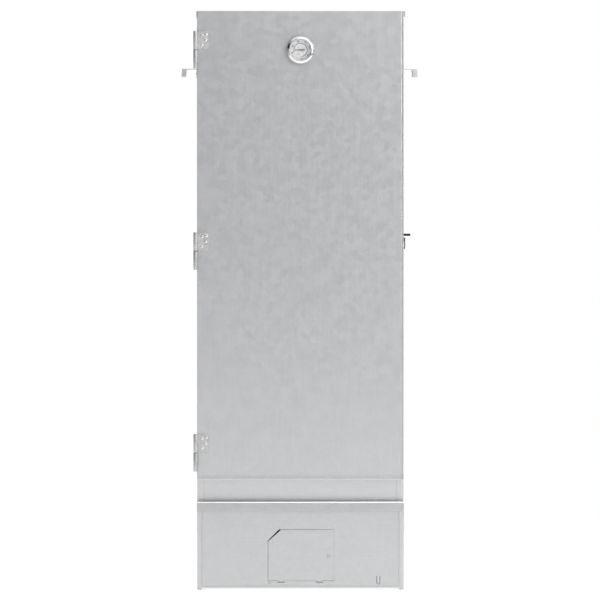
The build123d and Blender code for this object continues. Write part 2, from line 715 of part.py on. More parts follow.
def latch_hook():
    """The hook on the cabinet's side. It hangs down at rest and swings forward and up round the stud."""
    x0, t = body_half + hook_gap, hook_sheet
    z = latch_pivot_z
    reach = math.hypot(latch_pivot_y - latch_stud_y, latch_height - z)
    slot_half = stud_radius + 0.3
    low, high = z - reach - slot_half - 1.9, z - 3.6
    mid = (low + high) / 2
    outer = Line((x0 + t, z + 3.7), (x0 + t, high))
    outer += ThreePointArc((x0 + t, high), (x0 + t + 1.0, mid), (x0 + t, low))
    outer += Line((x0 + t, low), (x0, low))
    outer += ThreePointArc((x0, low), (x0 + 1.0, mid), (x0, high))
    outer += Line((x0, high), (x0, z + 3.7))
    outer += Line((x0, z + 3.7), (x0 + t, z + 3.7))
    strip = Plane(origin=(0, latch_pivot_y - hook_half, 0), x_dir=(1, 0, 0), z_dir=(0, -1, 0)) * make_face(outer)
    hook = extrude(strip, 2 * hook_half, dir=(0, 1, 0))
    hook -= bar((x0 - 1, latch_pivot_y, z), (x0 + 5, latch_pivot_y, z), 2.0 + running_gap)
    y, slot_z = latch_pivot_y, z - reach
    mouth = y - hook_half - 0.8
    hook -= pressed(((y, slot_z - slot_half), (y, slot_z + slot_half), (mouth, slot_z + slot_half + 1.3),
                     (mouth, slot_z - slot_half)), x0 - 1, x0 + 6)
    return hook - bar((x0 - 1, y, slot_z), (x0 + 6, y, slot_z), slot_half)


def latch_pivot():
    """The shouldered rivet that the hook swings on."""
    y, z = latch_pivot_y, latch_pivot_z
    top = body_half + hook_gap + hook_sheet + 0.2
    pivot = bar((web - 1.2, y, z), (top, y, z), 2.0)
    pivot += bar((body_half, y, z), (body_half + 0.3, y, z), 3.2)
    pivot += bar((web - 1.2, y, z), (web, y, z), 3.4)
    return pivot + bar((top, y, z), (top + 1.2, y, z), 3.3)


# ---- thermometer --------------------------------------------------------------------------------
def at_dial(part):
    """Lifts a part turned about the Y axis to the dial's height."""
    return Pos(0, 0, dial_height) * part


def thermometer_case():
    """The round case and its polished bezel."""
    y = door_front
    profile = ((3.0, y), (24.5, y), (24.5, y - 4.5), (26.0, y - 6.0), (26.0, y - 10.0), (25.2, y - 11.5),
               (23.8, y - 12.0), (22.4, y - 11.8), (window_radius, y - 10.4), (window_radius, y - 9.8),
               (22.5, y - 9.8), (22.5, y - 1.0), (3.0, y - 1.0))
    return at_dial(turned(profile))


def thermometer_dial():
    y = door_front - 1.0
    return at_dial(turned(((0.8, y), (22.4, y), (22.4, y - 1.0), (0.8, y - 1.0))))


def thermometer_lens():
    y = door_front - 8.8
    return at_dial(turned(((0, y), (22.4, y), (22.4, y - 1.0), (0, y - 1.0))))


def thermometer_needle():
    """The pointer with its hub and spindle; its tip points left at rest."""
    y = door_front - 4.0
    blade = run_along(((-12.5, -0.25), (0.0, -1.0), (9.0, -1.4), (9.0, 1.4), (0.0, 1.0), (-12.5, 0.25)), y - 0.5, y)
    hub = bar((0, y - 1.2, 0), (0, y + 0.5, 0), 1.7)
    return at_dial(blade + hub + bar((0, y, 0), (0, door_front + 12.0, 0), 0.7))


def thermometer_stem():
    """The threaded neck and probe that reach into the smoke."""
    y = door_front
    profile = ((0.8, y - 1.0), (3.0, y - 1.0), (3.0, y + 62.0), (2.0, y + 64.0), (0, y + 64.0), (0, y + 14.0),
               (0.8, y + 14.0))
    return at_dial(turned(profile))


def thermometer_nut():
    """The hexagon nut that clamps the thermometer to the door."""
    plane = Plane(origin=(0, door_front + sheet, dial_height), z_dir=(0, 1, 0))
    return extrude(plane * (RegularPolygon(7.5, 6) - Circle(3.0)), 4.5)


# ---- writing ------------------------------------------------------------------------------------
def main():
    os.makedirs("parts", exist_ok=True)
    save("left_side_panel", left_side_panel())
    save("right_side_panel", right_side_panel())
    save("back_panel", back_panel())
    save("roof_cap", roof_cap())
    save("vent_damper", vent_damper())
    save("vent_pivot", vent_pivot())
    save("upper_front_rail", upper_front_rail())
    save("lower_front_rail", lower_front_rail())
    save("front_rivets", *front_rivets())
    save("corner_posts", *corner_posts())
    save("base_front_panel", base_front_panel())
    save("skirt_rivet", skirt_rivet())
    save("base_right_panel", base_side_panel())
    save("base_left_panel", other_side(base_side_panel()))
    save("base_back_panel", base_back_panel())
    save("base_rim", *base_rim())
    save("base_floor_pan", base_floor_pan())
    save("chip_flap", chip_flap())
    save("flap_knob", flap_knob())
    save("rack_rails", *rack_rails())
    save("drip_tray", drip_tray())
    save("wire_rack_lower", wire_rack(rail_levels[1]))
    save("wire_rack_upper", wire_rack(rail_levels[2]))
    save("rod_brackets", rod_bracket(), other_side(rod_bracket()))
    save("hanging_rods", *hanging_rods())
    save("smoking_hooks", *smoking_hooks())
    save("chip_pan", chip_pan())
    save("heating_element", heating_element())
    save("element_supports", *element_supports())
    save("element_glands", *element_glands())
    save("terminal_box", terminal_box())
    save("terminal_cover", terminal_cover())
    save("terminal_screws", *terminal_screws())
    save("power_inlet", power_inlet())
    save("inlet_pins", *inlet_pins())
    save("thermal_cutout", thermal_cutout())
    save("internal_wires", *internal_wires())
    save("right_handle", handle())
    save("left_handle", other_side(handle()))
    save("handle_rivets", *handle_rivets())
    save("door_hinge_leaves", *[door_hinge_leaf(joint) for joint in hinge_joints])
    save("frame_hinge_leaves", *[frame_hinge_leaf(joint) for joint in hinge_joints])
    save("hinge_pins", *hinge_pins())
    save("hinge_washers", *hinge_washers())
    save("door_hinge_rivets", *door_hinge_rivets())
    save("frame_hinge_rivets", *frame_hinge_rivets())
    save("door_skin", door_skin())
    save("door_stiffeners", *door_stiffeners())
    save("latch_stud", latch_stud())
    save("latch_hook", latch_hook())
    save("latch_pivot", latch_pivot())
    save("thermometer_case", thermometer_case())
    save("thermometer_dial", thermometer_dial())
    save("thermometer_lens", thermometer_lens())
    save("thermometer_needle", thermometer_needle())
    save("thermometer_stem", thermometer_stem())
    save("thermometer_nut", thermometer_nut())


main()
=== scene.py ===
import json
import math
import random

import bmesh
import bpy
from mathutils import Matrix, Vector


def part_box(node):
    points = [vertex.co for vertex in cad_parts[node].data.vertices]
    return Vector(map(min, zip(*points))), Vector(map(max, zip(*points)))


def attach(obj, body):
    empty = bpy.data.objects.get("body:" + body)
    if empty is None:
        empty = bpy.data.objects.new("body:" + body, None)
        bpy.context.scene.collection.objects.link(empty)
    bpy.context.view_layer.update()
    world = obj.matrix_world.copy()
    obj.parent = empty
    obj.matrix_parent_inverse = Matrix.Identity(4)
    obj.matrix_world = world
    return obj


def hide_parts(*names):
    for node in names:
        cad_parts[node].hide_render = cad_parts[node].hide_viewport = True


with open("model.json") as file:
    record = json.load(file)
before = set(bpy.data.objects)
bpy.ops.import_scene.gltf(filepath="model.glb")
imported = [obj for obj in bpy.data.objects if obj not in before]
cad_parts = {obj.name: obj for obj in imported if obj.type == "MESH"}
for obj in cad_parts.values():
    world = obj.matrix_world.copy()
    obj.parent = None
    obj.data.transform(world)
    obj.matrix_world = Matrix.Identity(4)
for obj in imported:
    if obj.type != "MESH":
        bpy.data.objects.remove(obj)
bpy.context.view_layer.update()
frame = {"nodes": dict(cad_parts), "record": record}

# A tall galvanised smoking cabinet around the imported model. Metres, +Z up, the front faces -Y.
# Numbers times MM are millimetres. Profiles of turned pieces are (radius, height) points.
MM = 0.001
SAME_POINT = 1e-6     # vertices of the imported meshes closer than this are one
SAME_RING_POINT = 1e-7
nodes = frame["nodes"]
scene = bpy.context.scene


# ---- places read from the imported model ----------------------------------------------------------
def centre_of(node):
    low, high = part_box(node)
    return (low + high) / 2


def solid_boxes(node):
    """The (lowest, highest) corners of each separate solid in a node."""
    mesh = bmesh.new()
    mesh.from_mesh(nodes[node].data)
    bmesh.ops.remove_doubles(mesh, verts=mesh.verts, dist=SAME_POINT)
    left = set(mesh.verts)
    boxes = []
    while left:
        front, island = [left.pop()], []
        while front:
            vert = front.pop()
            island.append(vert.co.copy())
            for edge in vert.link_edges:
                other = edge.other_vert(vert)
                if other in left:
                    left.remove(other)
                    front.append(other)
        low = Vector([min(p[i] for p in island) for i in range(3)])
        high = Vector([max(p[i] for p in island) for i in range(3)])
        boxes.append((low, high))
    mesh.free()
    return sorted(boxes, key=lambda b: (round(b[0].x, 4), round(b[0].y, 4), round(b[0].z, 4)))


# ---- materials ----------------------------------------------------------------------------------
def colour_ramp(tree, value, stops):
    """Turns a value into a colour, from (place, colour) stops."""
    node = tree.nodes.new("ShaderNodeValToRGB")
    while len(node.color_ramp.elements) < len(stops):
        node.color_ramp.elements.new(0.5)
    for element, (place, colour) in zip(node.color_ramp.elements, stops):
        element.position = place
        element.color = (*colour, 1.0)
    tree.links.new(value, node.inputs["Fac"])
    return node.outputs["Color"]


class Recipe:
    """A node material being built: short calls for the textures and sums that the finishes share."""

    def __init__(self, name, metallic=0.0):
        self.material = bpy.data.materials.new(name)
        self.material.use_nodes = True
        self.tree = self.material.node_tree
        self.shader = self.tree.nodes["Principled BSDF"]
        self.shader.inputs["Metallic"].default_value = metallic
        self.coordinates = self.tree.nodes.new("ShaderNodeTexCoord").outputs["Object"]

    def link(self, source, node, socket):
        self.tree.links.new(source, node.inputs[socket])

    def stretched(self, stretch):
        node = self.tree.nodes.new("ShaderNodeMapping")
        node.inputs["Scale"].default_value = stretch
        self.link(self.coordinates, node, "Vector")
        return node.outputs["Vector"]

    def noise(self, scale, detail=3.0, roughness=0.5, stretch=(1, 1, 1)):
        node = self.tree.nodes.new("ShaderNodeTexNoise")
        node.inputs["Scale"].default_value = scale
        node.inputs["Detail"].default_value = detail
        node.inputs["Roughness"].default_value = roughness
        self.link(self.stretched(stretch), node, "Vector")
        return node.outputs["Fac"]

    def cells(self, scale, stretch=(1, 1, 1)):
        """One random grey for each crystal."""
        node = self.tree.nodes.new("ShaderNodeTexVoronoi")
        node.inputs["Scale"].default_value = scale
        node.inputs["Randomness"].default_value = 1.0
        self.link(self.stretched(stretch), node, "Vector")
        split = self.tree.nodes.new("ShaderNodeSeparateColor")
        self.link(node.outputs["Color"], split, "Color")
        return split.outputs["Red"]

    def wave(self, scale, axis="X", distortion=0.0):
        node = self.tree.nodes.new("ShaderNodeTexWave")
        node.bands_direction = axis
        node.inputs["Scale"].default_value = scale
        node.inputs["Distortion"].default_value = distortion
        self.link(self.coordinates, node, "Vector")
        return node.outputs["Fac"]

    def blend_of(self, parts):
        """The weighted sum of (value, weight) pairs."""
        total = None
        for value, weight in parts:
            scaled = self.tree.nodes.new("ShaderNodeMath")
            scaled.operation = "MULTIPLY"
            scaled.inputs[1].default_value = weight
            self.tree.links.new(value, scaled.inputs[0])
            if total is None:
                total = scaled.outputs[0]
                continue
            added = self.tree.nodes.new("ShaderNodeMath")
            added.operation = "ADD"
            self.tree.links.new(total, added.inputs[0])
            self.tree.links.new(scaled.outputs[0], added.inputs[1])
            total = added.outputs[0]
        return total

    def ramp(self, value, stops):
        return colour_ramp(self.tree, value, stops)

    def spread(self, value, low, high, start=0.0, end=1.0):
        """A value between start and end, spread over low to high."""
        node = self.tree.nodes.new("ShaderNodeMapRange")
        node.inputs["From Min"].default_value = start
        node.inputs["From Max"].default_value = end
        node.inputs["To Min"].default_value = low
        node.inputs["To Max"].default_value = high
        self.link(value, node, "Value")
        return node.outputs["Result"]

    def painted_seam_shade(self, colour, reach=9.0, strength=0.35):
        """Darkens a colour where other surfaces stand within reach, in millimetres: painted shade in seams and
        corners.
        """
        seams = self.tree.nodes.new("ShaderNodeAmbientOcclusion")
        seams.inputs["Distance"].default_value = reach * MM
        seams.samples = 4
        return self.darkened(colour, self.spread(seams.outputs["AO"], 1.0 - strength, 1.0, 0.1, 0.8))

    def painted_floor_shade(self, colour, top=12.0, low=3.0, strength=0.2):
        """Darkens a colour unevenly near the floor, below heights in millimetres: painted shade from the floor.
        """
        split = self.tree.nodes.new("ShaderNodeSeparateXYZ")
        self.link(self.coordinates, split, "Vector")
        ragged = self.blend_of([(split.outputs["Z"], 1.0), (self.noise(60.0, 4.0, 0.6), 0.004)])
        return self.darkened(colour, self.spread(ragged, 1.0 - strength, 1.0, low * MM, top * MM))

    def darkened(self, colour, shade):
        """A colour multiplied by a grey."""
        mixed = self.tree.nodes.new("ShaderNodeMix")
        mixed.data_type = "RGBA"
        mixed.blend_type = "MULTIPLY"
        mixed.inputs["Factor"].default_value = 1.0
        self.tree.links.new(colour, mixed.inputs["A"])
        self.tree.links.new(shade, mixed.inputs["B"])
        return mixed.outputs["Result"]

    def colour(self, output):
        self.link(output, self.shader, "Base Color")

    def rough(self, output):
        self.link(output, self.shader, "Roughness")

    def bump(self, height, strength, distance):
        node = self.tree.nodes.new("ShaderNodeBump")
        node.inputs["Strength"].default_value = strength
        node.inputs["Distance"].default_value = distance
        self.link(height, node, "Height")
        self.link(node.outputs["Normal"], self.shader, "Normal")


UPRIGHT_GRAIN = (1, 1, 0.03)
LEVEL_GRAIN = (0.03, 1, 1)


def galvanised(name, dark, light, grain=UPRIGHT_GRAIN, rough=(0.37, 0.45), seam_shade=0.35, floor_shade=False, drawn=0.15):
    """Zinc-coated sheet: faint crystals, rolling streaks, small scuffs, painted shade in its seams and, where
    asked, painted shade near the floor.

    dark and light are its tones, grain the stretch of its streaks, and drawn how far its shine follows them.
    """
    recipe = Recipe(name, metallic=1.0)
    crystals = recipe.cells(90.0)
    fine_crystals = recipe.cells(230.0, (1, 1, 0.6))
    clouds = recipe.noise(9.0, 4.0, 0.6, tuple(max(stretch, 0.25) for stretch in grain))
    streaks = recipe.noise(300.0, 4.0, 0.6, grain)
    scuffs = recipe.noise(75.0, 6.0, 0.7, (1, 1, 0.35))
    tone = recipe.blend_of([(crystals, 0.16), (fine_crystals, 0.16), (clouds, 0.12), (streaks, 0.56)])
    middle = [(a + b) / 2 for a, b in zip(dark, light)]
    sheet_colour = recipe.ramp(tone, [(0.2, dark), (0.5, middle), (0.8, light)])
    # painted shade near the floor, darker towards the bottom
    if floor_shade:
        sheet_colour = recipe.painted_floor_shade(sheet_colour)
    # painted shade in the seams: the colour is darkened where other surfaces stand close
    recipe.colour(recipe.painted_seam_shade(sheet_colour, strength=seam_shade))
    gloss = recipe.blend_of([(crystals, 0.25), (streaks, 0.4), (scuffs, 0.35)])
    recipe.rough(recipe.spread(gloss, rough[0], rough[1], 0.25, 0.75))
    relief = recipe.blend_of([(crystals, 0.25), (streaks, 0.5), (scuffs, 0.3)])
    recipe.bump(relief, 0.09, 0.04 * MM)
    recipe.shader.inputs["Anisotropic"].default_value = drawn
    return recipe.material


def plated(name, dark, light, rough=(0.22, 0.36), speck=900.0):
    """Small bright-plated or bare metal pieces, with fine pits and handling marks. speck is the pits' scale."""
    recipe = Recipe(name, metallic=1.0)
    pits = recipe.noise(speck, 5.0, 0.65)
    patches = recipe.noise(120.0, 3.0, 0.5)
    tone = recipe.blend_of([(pits, 0.45), (patches, 0.55)])
    recipe.colour(recipe.ramp(tone, [(0.3, dark), (0.7, light)]))
    recipe.rough(recipe.spread(tone, rough[0], rough[1], 0.3, 0.7))
    recipe.bump(pits, 0.12, 0.03 * MM)
    return recipe.material


def element_sheath():
    """A steel sheath that heat has coloured from straw to blue-brown."""
    recipe = Recipe("element_sheath_m", metallic=1.0)
    bands = recipe.noise(14.0, 3.0, 0.55, (1, 0.6, 1))
    scale_marks = recipe.noise(500.0, 5.0, 0.7)
    recipe.colour(recipe.ramp(bands, [(0.3, (0.16, 0.15, 0.17)), (0.5, (0.30, 0.23, 0.17)),
                                      (0.72, (0.36, 0.34, 0.33))]))
    recipe.rough(recipe.spread(scale_marks, 0.38, 0.6, 0.3, 0.7))
    recipe.bump(scale_marks, 0.2, 0.05 * MM)
    return recipe.material


def coated(name, dark, light, rough, grain=700.0, bump=0.15, shine=0.5, glow=0.0):
    """Paint, moulded plastic or print: a fine texture, with slight fading. glow is light of its own."""
    recipe = Recipe(name)
    texture = recipe.noise(grain, 4.0, 0.6)
    fading = recipe.noise(40.0, 3.0, 0.5)
    tone = recipe.blend_of([(texture, 0.35), (fading, 0.65)])
    recipe.colour(recipe.ramp(tone, [(0.3, dark), (0.7, light)]))
    recipe.rough(recipe.spread(texture, rough[0], rough[1], 0.3, 0.7))
    recipe.bump(texture, bump, 0.04 * MM)
    recipe.shader.inputs["Specular IOR Level"].default_value = shine
    if glow:
        recipe.shader.inputs["Emission Color"].default_value = (1.0, 1.0, 1.0, 1.0)
        recipe.shader.inputs["Emission Strength"].default_value = glow
    return recipe.material


def wire_sleeve():
    """A braided glass-fibre sleeve."""
    recipe = Recipe("wire_sleeve_m")
    one_way = recipe.wave(1100.0, "DIAGONAL")
    cross = recipe.wave(900.0, "Z", 1.0)
    weave = recipe.blend_of([(one_way, 0.5), (cross, 0.5)])
    recipe.colour(recipe.ramp(weave, [(0.2, (0.42, 0.38, 0.30)), (0.8, (0.72, 0.69, 0.60))]))
    recipe.rough(recipe.spread(weave, 0.7, 0.95))
    recipe.bump(weave, 0.5, 0.2 * MM)
    return recipe.material


def clear_glass():
    """The dial's flat window, which has a few wipe marks."""
    recipe = Recipe("glass_m")
    marks = recipe.noise(160.0, 4.0, 0.6)
    recipe.rough(recipe.spread(marks, 0.02, 0.09, 0.4, 0.8))
    recipe.shader.inputs["Base Color"].default_value = (0.97, 0.98, 0.98, 1.0)
    recipe.shader.inputs["IOR"].default_value = 1.45
    recipe.shader.inputs["Alpha"].default_value = 0.10
    return recipe.material


MATERIALS = {
    "galvanised_sheet": galvanised("galvanised_sheet_m", (0.565, 0.568, 0.575), (0.625, 0.627, 0.633)),
    "bright_steel": plated("bright_steel_m", (0.62, 0.62, 0.61), (0.80, 0.80, 0.79)),
    "hinge_steel": plated("hinge_steel_m", (0.42, 0.42, 0.415), (0.66, 0.66, 0.65), (0.54, 0.66), 600.0),
    "spring_steel": plated("spring_steel_m", (0.07, 0.07, 0.072), (0.15, 0.15, 0.155), (0.35, 0.5)),
    "black_coated_steel": coated("black_coated_steel_m", (0.004, 0.004, 0.005), (0.010, 0.010, 0.011),
                                 (0.45, 0.6), shine=0.25),
    "chromed_wire": plated("chromed_wire_m", (0.66, 0.66, 0.67), (0.80, 0.80, 0.81), (0.12, 0.22), 1200.0),
    "element_sheath": element_sheath(),
    "brass": plated("brass_m", (0.60, 0.44, 0.20), (0.80, 0.62, 0.33), (0.25, 0.4)),
    "black_plastic": coated("black_plastic_m", (0.012, 0.012, 0.013), (0.03, 0.03, 0.032),
                            (0.45, 0.62), 1500.0, 0.3),
    "wire_sleeve": wire_sleeve(),
    "chrome": plated("chrome_m", (0.66, 0.66, 0.67), (0.73, 0.73, 0.74), (0.06, 0.13), 400.0),
    "dial_face": coated("dial_face_m", (0.60, 0.60, 0.59), (0.70, 0.70, 0.69), (0.42, 0.55), 900.0, 0.05),
    "glass": clear_glass(),
    "needle_red": coated("needle_red_m", (0.20, 0.012, 0.016), (0.32, 0.02, 0.025), (0.35, 0.5)),
}
# Dark ink for the dial's print and the needle, also used for the painted shadow ring round the dial.
DIAL_INK_AND_SHADOW = coated("dial_ink_and_shadow_m", (0.03, 0.03, 0.032), (0.07, 0.07, 0.075), (0.5, 0.65), 1500.0, 0.05)
DULL_ZINC = plated("dull_zinc_m", (0.51, 0.51, 0.51), (0.60, 0.60, 0.595), (0.5, 0.62), 700.0)
KNUCKLE_STEEL = plated("knuckle_steel_m", (0.42, 0.42, 0.42), (0.60, 0.60, 0.595), (0.5, 0.62), 600.0)
# A brighter metal for the rim's hem: a painted highlight along its upper edge.
HEM_PAINTED_HIGHLIGHT = plated("hem_painted_highlight_m", (0.74, 0.74, 0.74), (0.81, 0.81, 0.81), (0.24, 0.34), 500.0)
# Lightened copies of the sheet for the handles: painted light, much stronger on the left handle, which the body
# shades from the lamps on the right.
LEFT_HANDLE_PAINTED_LIGHT = galvanised("left_handle_painted_light_m", (0.82, 0.822, 0.82), (0.92, 0.922, 0.92))
RIGHT_HANDLE_PAINTED_LIGHT = galvanised("right_handle_painted_light_m", (0.64, 0.642, 0.64), (0.74, 0.742, 0.74))
# The side and sill sheets get weaker painted shade in their seams.
SIDE_SHEET = galvanised("side_sheet_m", (0.620, 0.622, 0.626), (0.680, 0.682, 0.685), seam_shade=0.2)
SILL_SHEET = galvanised("sill_sheet_m", (0.625, 0.626, 0.628), (0.685, 0.686, 0.688), LEVEL_GRAIN, seam_shade=0.2)
# The base's sheets are darkened near the floor: painted shade.
BASE_SHEET = galvanised("base_sheet_m", (0.545, 0.546, 0.549), (0.605, 0.606, 0.608), LEVEL_GRAIN, floor_shade=True)
RIM_SHEET = galvanised("level_grain_sheet_m", (0.555, 0.556, 0.559), (0.615, 0.616, 0.618), LEVEL_GRAIN)
# A darker, duller copy of the sheet for the roof and its damper: painted shade that keeps the lamps' reflection
# in the roof from glaring.
ROOF_PAINTED_SHADE = galvanised("roof_painted_shade_m", (0.51, 0.511, 0.514), (0.585, 0.586, 0.588), LEVEL_GRAIN,
                        rough=(0.66, 0.76), drawn=0.0)
FLOOR_PAINT = coated("floor_paint_m", (0.86, 0.86, 0.86), (0.90, 0.90, 0.90), (0.55, 0.7), 60.0, 0.02,
                     glow=0.62)


# ---- pieces -------------------------------------------------------------------------------------
def piece(name, mesh, body, slot, replaced=(), material=None, smooth=40.0):
    """One finished piece: it gets a material, shading, the body it rides on and the nodes it stands for."""
    mesh.normal_update()
    data = bpy.data.meshes.new(name)
    mesh.to_mesh(data)
    mesh.free()
    obj = bpy.data.objects.new(name, data)
    scene.collection.objects.link(obj)
    data.materials.append(material or MATERIALS[slot])
    for polygon in data.polygons:
        polygon.use_smooth = True
    data.set_sharp_from_angle(angle=math.radians(smooth))
    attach(obj, body)
    if replaced:
        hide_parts(*replaced)
    return obj


def frame_of(place, outward):
    """A matrix whose Z axis points outward from place."""
    return Matrix.Translation(place) @ Vector(outward).to_track_quat("Z", "Y").to_matrix().to_4x4()


def add_lathe(mesh, profile, matrix, segments=64):
    """Turns (radius, height) points about the matrix's Z axis into a closed skin."""
    rings = []
    for radius, height in profile:
        if radius < SAME_RING_POINT:
            rings.append([mesh.verts.new(matrix @ Vector((0, 0, height)))])
            continue
        ring = []
        for index in range(segments):
            angle = 2 * math.pi * index / segments
            spot = Vector((radius * math.cos(angle), radius * math.sin(angle), height))
            ring.append(mesh.verts.new(matrix @ spot))
        rings.append(ring)
    for low, high in zip(rings, rings[1:]):
        for index in range(segments):
            after = (index + 1) % segments
            corners = [low[index % len(low)], low[after % len(low)],
                       high[after % len(high)], high[index % len(high)]]
            corners = list(dict.fromkeys(corners))
            if len(corners) > 2:
                mesh.faces.new(corners)


def in_millimetres(points):
    return [(a * MM, b * MM) for a, b in points]


def close_skin(mesh):
    """Joins a turned skin's first ring to its last where they meet, and turns its faces outward."""
    bmesh.ops.remove_doubles(mesh, verts=mesh.verts, dist=SAME_RING_POINT)
    bmesh.ops.recalc_face_normals(mesh, faces=mesh.faces)


def thicken(obj, name, thickness, offset=0.0):
    """Gives a flat piece its thickness: offset 0 spreads it to both sides, -1 puts it behind."""
    solid = obj.modifiers.new(name, "SOLIDIFY")
    solid.thickness = thickness
    solid.offset = offset


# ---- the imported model's own pieces --------------------------------------------------------------
# The rounding of each material's edges, in millimetres, and the edges that get it, in degrees.
SOFT_EDGE = {"galvanised_sheet": 0.28, "hinge_steel": 0.35, "black_plastic": 0.5, "spring_steel": 0.25,
             "bright_steel": 0.22, "brass": 0.3}
SHARP_EDGE = 50
# Nodes that keep their mesh as it is: round rods, and panels whose large faces a bevel would shade.
PLAIN_NODES = ("hanging_rods", "smoking_hooks", "hinge_pins", "thermometer_stem", "left_side_panel",
               "right_side_panel")
SPECIAL_FINISH = {"lower_front_rail": SILL_SHEET, "base_front_panel": BASE_SHEET, "base_rim": RIM_SHEET,
                  "base_left_panel": BASE_SHEET, "base_right_panel": BASE_SHEET, "base_back_panel": BASE_SHEET,
                  "chip_flap": BASE_SHEET, "roof_cap": ROOF_PAINTED_SHADE, "vent_damper": ROOF_PAINTED_SHADE,
                  "left_side_panel": SIDE_SHEET, "right_side_panel": SIDE_SHEET,
                  "left_handle": LEFT_HANDLE_PAINTED_LIGHT, "right_handle": RIGHT_HANDLE_PAINTED_LIGHT,
                  "flap_knob": DULL_ZINC, "skirt_rivet": DULL_ZINC, "frame_hinge_leaves": KNUCKLE_STEEL}


def dress_nodes():
    """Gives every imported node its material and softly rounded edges."""
    slots = {part["node"]: part["material_slot"] for part in frame["record"]["subparts"]}
    for name, obj in nodes.items():
        slot = slots[name]
        material = SPECIAL_FINISH.get(name, MATERIALS[slot])
        for index in range(len(obj.material_slots)):
            obj.material_slots[index].material = material
        width = SOFT_EDGE.get(slot)
        if width and name not in PLAIN_NODES:
            weld = obj.modifiers.new("weld", "WELD")
            weld.merge_threshold = 0.002 * MM
            bevel = obj.modifiers.new("soft_edges", "BEVEL")
            bevel.width = width * MM
            bevel.segments = 2
            bevel.limit_method = "ANGLE"
            bevel.angle_limit = math.radians(SHARP_EDGE)
            bevel.harden_normals = True


# The door's sheet, in millimetres.
DOOR_SHEET = 1.0
DOOR_EDGE = 0.4       # radius of its rolled edges
DOOR_LIP = 10.0       # width of the lip behind its edges
DOOR_CURL = 12.0      # height over which its lower edge curls forward, and how far
DOOR_CURL_OUT = 0.35
DOOR_FOLD = 3.3       # distance of the fine fold line from the latch's edge, and its depth
DOOR_FOLD_DEPTH = 0.35
DOOR_HOLLOW = 0.2     # depth of the sheet's middle, and of the waves in it
DOOR_WAVE = 0.02
DOOR_COLUMNS, DOOR_ROWS, CURL_ROWS = 44, 98, 5


def door_panel():
    """The door's folded sheet, with rolled edges, a fine fold line near the latch and slight waves."""
    low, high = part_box("door_skin")
    radius, lip, curl = DOOR_EDGE * MM, DOOR_LIP * MM, DOOR_CURL * MM
    left, right = low.x + radius, high.x - radius
    bottom, top = low.z + radius, high.z - radius
    fold = high.x - DOOR_FOLD * MM
    width, height = fold - 1.0 * MM - left, top - bottom - curl
    columns = [left, left + 0.4 * MM] + [left + width * i / DOOR_COLUMNS for i in range(1, DOOR_COLUMNS + 1)]
    columns += [fold - 0.5 * MM, fold, fold + 0.5 * MM, right - 0.4 * MM, right]
    rows = [bottom + curl * i / CURL_ROWS for i in range(CURL_ROWS + 1)]
    rows += [bottom + curl + height * i / DOOR_ROWS for i in range(1, DOOR_ROWS)] + [top - 0.4 * MM, top]
    waves = random.Random(7)
    terms = [(waves.uniform(0.6, 2.2), waves.uniform(0.8, 4.0), waves.uniform(0, 6.3)) for _ in range(5)]

    def depth(x, z):
        across, up = (x - left) / (right - left), (z - bottom) / (top - bottom)
        edge = max(0.0, math.sin(math.pi * across) * math.sin(math.pi * up))
        wave = sum(math.sin(a * math.pi * across + p) * math.sin(b * math.pi * up + p) for a, b, p in terms)
        groove = DOOR_FOLD_DEPTH * MM if abs(x - fold) < 0.1 * MM else 0.0
        outward = DOOR_CURL_OUT * MM * max(0.0, 1 - (z - bottom) / curl) ** 2
        return low.y + groove - outward + edge * (DOOR_HOLLOW + DOOR_WAVE * wave) * MM

    mesh = bmesh.new()
    grid = [[mesh.verts.new((x, depth(x, z), z)) for x in columns] for z in rows]
    for below, above in zip(grid, grid[1:]):
        for i in range(len(columns) - 1):
            mesh.faces.new((below[i], below[i + 1], above[i + 1], above[i]))
    border = grid[0][:] + [row[-1] for row in grid[1:]] + grid[-1][-2::-1] + [row[0] for row in grid[-2:0:-1]]
    # Each step round the edge, as (how far out, how far behind the front) from the sheet's flat part.
    steps = [(radius * math.sin(math.radians(turn)), radius * (1 - math.cos(math.radians(turn))))
             for turn in (22.5, 45, 67.5, 90)]
    back = high.y - low.y
    steps += [(radius, back - 1.4 * MM), (radius - 0.3 * MM, back - 0.4 * MM), (radius - 1.2 * MM, back),
              (radius - lip, back)]
    ring = border
    for out, behind in steps:
        fresh = []
        for vert in border:
            x, y, z = vert.co
            if x > right - SAME_POINT:
                x += out
            elif x < left + SAME_POINT:
                x -= out
            if z > top - SAME_POINT:
                z += out
            elif z < bottom + SAME_POINT:
                z -= out
            fresh.append(mesh.verts.new((x, y + (low.y + behind - y) * min(1.0, behind / radius), z)))
        for i in range(len(ring)):
            j = (i + 1) % len(ring)
            mesh.faces.new((ring[i], fresh[i], fresh[j], ring[j]))
        ring = fresh
    bmesh.ops.recalc_face_normals(mesh, faces=mesh.faces)
    door = piece("door_panel", mesh, "door", "galvanised_sheet", ("door_skin",), smooth=60)
    thicken(door, "sheet", DOOR_SHEET * MM, -1.0)


def dome_profile(head, rise):
    """A rivet's crown, from its foot to its top."""
    return [(head, 0), (head, rise * 0.25), (head * 0.93, rise * 0.55), (head * 0.75, rise * 0.82),
            (head * 0.45, rise * 0.96), (0, rise)]


RIVET_RISE = 1.3      # height of a rivet's crown, and the radius and length of its shank, in millimetres
RIVET_SHANK = 1.5


